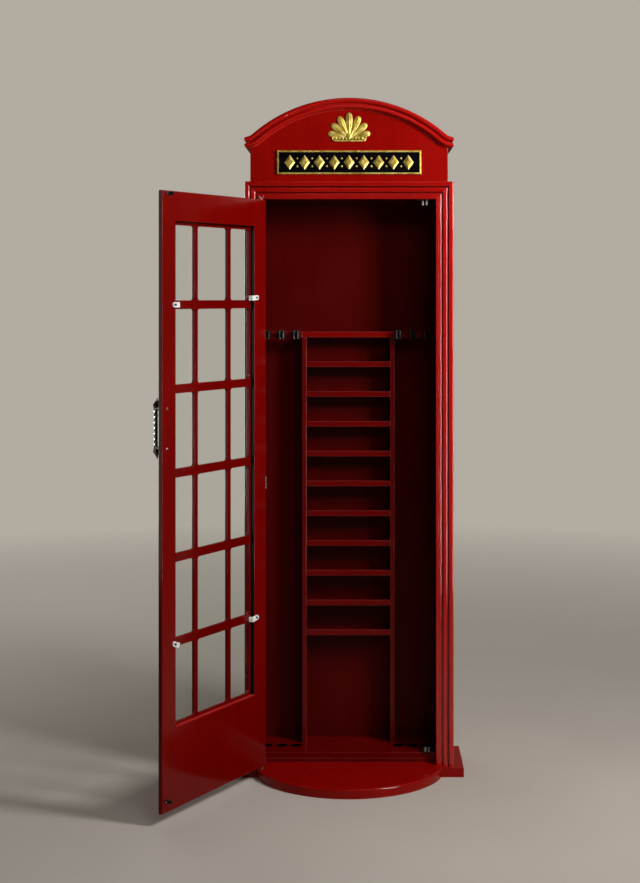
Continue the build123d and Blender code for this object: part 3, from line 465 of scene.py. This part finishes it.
LEAF_STEP = 25.0                # degrees between leaves
LEAF_LENGTH = 0.080
LEAF_WIDTH = 0.0235
LEAF_RISE = 0.0060
LEAF_FOOT = 0.26                # the foot's share of the full width
LEAF_TURN = 0.74                # where along the leaf its round end starts
LEAF_TIP = 0.00005
BAR_HALF = 0.044
BAR_SHARE = 0.35                # the straight bar's share of the path's steps
SCROLL_RADIUS = 0.0078
SCROLL_HEIGHT = 0.0118
SCROLL_TURNS = 1.15
BEAD_PITCH = 0.0098
BEAD_RADIUS = 0.0040
BOSS_RADIUS = 0.0105


def add_grid(build, rows):
    """Joins rows of points, all the same length, into quads."""
    layers = [[build.verts.new(point) for point in row] for row in rows]
    for low, high in zip(layers, layers[1:]):
        for i in range(len(low) - 1):
            build.faces.new((low[i], low[i + 1], high[i + 1], high[i]))


def capped(rows):
    """The rows with both open ends gathered to a point, so that the surface is closed."""
    ends = []
    for row in (rows[0], rows[-1]):
        middle = sum(row, Vector()) / len(row)
        ends.append([middle.copy() for _ in row])
    return [ends[0], *rows, ends[1]]


def leaf_rows(length, width, rise, steps=22, across=12):
    """Closed lobe that lies on y = 0 and grows along +z: slim foot, round end, raised midrib."""
    rows = []
    for i in range(steps + 1):
        along = i / steps
        swell = LEAF_FOOT + (1 - LEAF_FOOT) * math.sin(0.5 * math.pi * min(1.0, along / LEAF_TURN)) ** 2
        cap = math.sqrt(max(0.0, 1 - max(0.0, (along - LEAF_TURN) / (1 - LEAF_TURN)) ** 2))
        half = max(0.5 * width * swell * cap, LEAF_TIP)
        top = rise * (0.55 + 0.45 * along) * max(0.02, cap ** 0.7)
        row = []
        for j in range(across + 1):
            side = 2 * j / across - 1
            rim = 1 - abs(side) ** 5
            rib = 0.34 * math.exp(-(side / 0.20) ** 2)
            dish = 0.62 + 0.34 * abs(side) ** 1.5 + rib
            row.append(Vector((half * side, -top * rim * dish, length * along)))
        for j in range(across - 1, 0, -1):
            side = 2 * j / across - 1
            row.append(Vector((half * side, 0.0, length * along)))
        row.append(row[0].copy())
        rows.append(row)
    return rows


def tube_rows(points, radii, sides=12):
    """Rings round a path in the xz plane."""
    rows = []
    for i, point in enumerate(points):
        ahead = points[min(i + 1, len(points) - 1)] - points[max(i - 1, 0)]
        ahead.normalize()
        across = Vector((-ahead.z, 0, ahead.x))
        ring = []
        for j in range(sides + 1):
            turn = 2 * math.pi * j / sides
            outward = across * (radii[i] * math.cos(turn))
            ring.append(point + outward + Vector((0, -radii[i] * math.sin(turn), 0)))
        rows.append(ring)
    return rows


def dome_rows(centre, radius, rise, rings=7, sides=20):
    """Round boss: a half dome with a flat back."""
    rows = [[centre.copy() for _ in range(sides + 1)]]
    for i in range(rings + 1):
        lift = 0.5 * math.pi * i / rings
        reach = radius * math.cos(lift) + 0.00001
        ring = []
        for j in range(sides + 1):
            turn = 2 * math.pi * j / sides
            outward = Vector((reach * math.cos(turn), -rise * math.sin(lift), reach * math.sin(turn)))
            ring.append(centre + outward)
        rows.append(ring)
    return rows


def add_leaves(build, foot):
    """The leaves fan out from the foot, the outer ones first and the upright one on top."""
    for i in sorted(range(-3, 4), key=lambda n: -abs(n)):
        out = abs(i)
        turn = Matrix.Rotation(math.radians(LEAF_STEP * i), 3, "Y")
        lift = Vector((0, -0.0003 * (3 - out), 0.010))
        rows = leaf_rows(LEAF_LENGTH - 0.0042 * out, LEAF_WIDTH - 0.0006 * out, LEAF_RISE)
        add_grid(build, capped([[foot + lift + turn @ point for point in row] for row in rows]))


def scroll_path(foot, side, steps=40):
    """Half of the bar and the scroll at its end; returns the points and the radius at each."""
    points = []
    radii = []
    for k in range(steps + 1):
        turn = k / steps
        if turn < BAR_SHARE:
            points.append(foot + Vector((side * BAR_HALF * turn / BAR_SHARE, -0.0030, 0.0040)))
        else:
            past = (turn - BAR_SHARE) / (1 - BAR_SHARE)
            curl = 2 * math.pi * SCROLL_TURNS * past
            reach = SCROLL_RADIUS * (1 - 0.72 * past)
            points.append(foot + Vector((side * (BAR_HALF + reach * math.sin(curl)), -0.0030,
                                         SCROLL_HEIGHT - reach * math.cos(curl))))
        radii.append(0.0034 - 0.0014 * turn)
    return points, radii


def add_beads(build, foot):
    """A row of beads over the bar and a round boss at the leaves' root."""
    for k in range(-4, 5):
        rise = 0.0056 + 0.0008 * (k % 2 == 0)
        add_grid(build, dome_rows(foot + Vector((BEAD_PITCH * k, 0, 0.0105)), BEAD_RADIUS, rise))
    add_grid(build, dome_rows(foot + Vector((0, -0.0010, 0.0175)), BOSS_RADIUS, 0.0056))


def crest_palmette():
    """Seven ribbed leaves over a beaded bar whose ends curl into scrolls."""
    low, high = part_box("crest_ornament")
    foot = Vector((0.5 * (low[0] + high[0]), high[1], low[2]))
    build = bmesh.new()
    add_leaves(build, foot)
    left, left_radii = scroll_path(foot, -1)
    right, right_radii = scroll_path(foot, 1)
    add_grid(build, capped(tube_rows(left[:0:-1] + right, left_radii[:0:-1] + right_radii)))
    for side in (-1, 1):
        add_grid(build, dome_rows(foot + Vector((side * BAR_HALF, 0, SCROLL_HEIGHT)), 0.0032, 0.0058))
    add_beads(build, foot)
    bmesh.ops.remove_doubles(build, verts=build.verts, dist=0.00002)
    bmesh.ops.dissolve_degenerate(build, edges=build.edges, dist=0.00001)
    bmesh.ops.recalc_face_normals(build, faces=build.faces)
    mesh = bpy.data.meshes.new("crest_palmette")
    build.to_mesh(mesh)
    build.free()
    for polygon in mesh.polygons:
        polygon.use_smooth = True
    piece = bpy.data.objects.new("crest_palmette", mesh)
    bpy.context.scene.collection.objects.link(piece)
    mesh.materials.append(LOOKS["gold_paint"])
    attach(piece, "cabinet")
    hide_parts("crest_ornament")


crest_palmette()


# ---------------------------------------------------------------- floor, light and camera

def add_floor():
    """Plain level floor under the object."""
    mesh = bpy.data.meshes.new("floor")
    build = bmesh.new()
    bmesh.ops.create_grid(build, x_segments=1, y_segments=1, size=FLOOR_HALF)
    build.to_mesh(mesh)
    build.free()
    floor = bpy.data.objects.new("floor", mesh)
    bpy.context.scene.collection.objects.link(floor)
    mesh.materials.append(floor_finish("floor_finish"))


def add_area(name, place, target, size, power, colour, reach):
    """Rectangular lamp that the camera doesn't see; it gives "diffuse" light, "glossy" light or "all"."""
    light = bpy.data.lights.new(name, "AREA")
    light.shape = "RECTANGLE"
    light.size, light.size_y = size
    light.energy = power
    light.color = colour
    lamp = bpy.data.objects.new(name, light)
    lamp.location = place
    lamp.rotation_mode = "QUATERNION"
    lamp.rotation_quaternion = (Vector(target) - Vector(place)).to_track_quat("-Z", "Y")
    lamp.visible_camera = False
    lamp.visible_diffuse = reach != "glossy"
    lamp.visible_glossy = reach != "diffuse"
    bpy.context.scene.collection.objects.link(lamp)


def add_world():
    """Warm grey surroundings: even for the camera, dim ahead of the object and brighter behind it."""
    world = bpy.data.worlds.new("world")
    world.use_nodes = True
    tree = world.node_tree
    background = tree.nodes["Background"]
    background.inputs["Color"].default_value = (*BACKDROP, 1)
    coords = tree.nodes.new("ShaderNodeTexCoord")
    split = tree.nodes.new("ShaderNodeSeparateXYZ")
    depth = tree.nodes.new("ShaderNodeMapRange")
    for socket, value in zip(depth.inputs[1:5], (-0.25, 0.55, AHEAD_LEVEL, BEHIND_LEVEL)):
        socket.default_value = value
    path = tree.nodes.new("ShaderNodeLightPath")
    level = tree.nodes.new("ShaderNodeMapRange")
    level.inputs["To Max"].default_value = BACKDROP_LEVEL
    tree.links.new(coords.outputs["Generated"], split.inputs["Vector"])
    tree.links.new(split.outputs["Y"], depth.inputs["Value"])
    tree.links.new(depth.outputs["Result"], level.inputs["To Min"])
    tree.links.new(path.outputs["Is Camera Ray"], level.inputs["Value"])
    tree.links.new(level.outputs["Result"], background.inputs["Strength"])
    bpy.context.scene.world = world


def add_camera():
    """Level camera, with a shifted lens only while it stands at its own place."""
    data = bpy.data.cameras.new("camera")
    data.sensor_fit = "AUTO"
    data.sensor_width = CAMERA_SENSOR
    data.lens = CAMERA_LENS
    camera = bpy.data.objects.new("camera", data)
    camera.location = CAMERA_PLACE
    camera.rotation_euler = (math.radians(90), 0, 0)
    bpy.context.scene.collection.objects.link(camera)
    bpy.context.scene.camera = camera
    for path, shift in zip(("shift_x", "shift_y"), CAMERA_SHIFT):
        driver = data.driver_add(path).driver
        driver.type = "SCRIPTED"
        variable = driver.variables.new()
        variable.name = "y"
        variable.type = "TRANSFORMS"
        variable.targets[0].id = camera
        variable.targets[0].transform_type = "LOC_Y"
        driver.expression = f"{shift} if abs(y - {CAMERA_PLACE[1]}) < 0.001 else 0"


add_floor()
add_world()
for lamp in LAMPS:
    add_area(*lamp)
bpy.context.scene.view_settings.view_transform = "Standard"
add_camera()
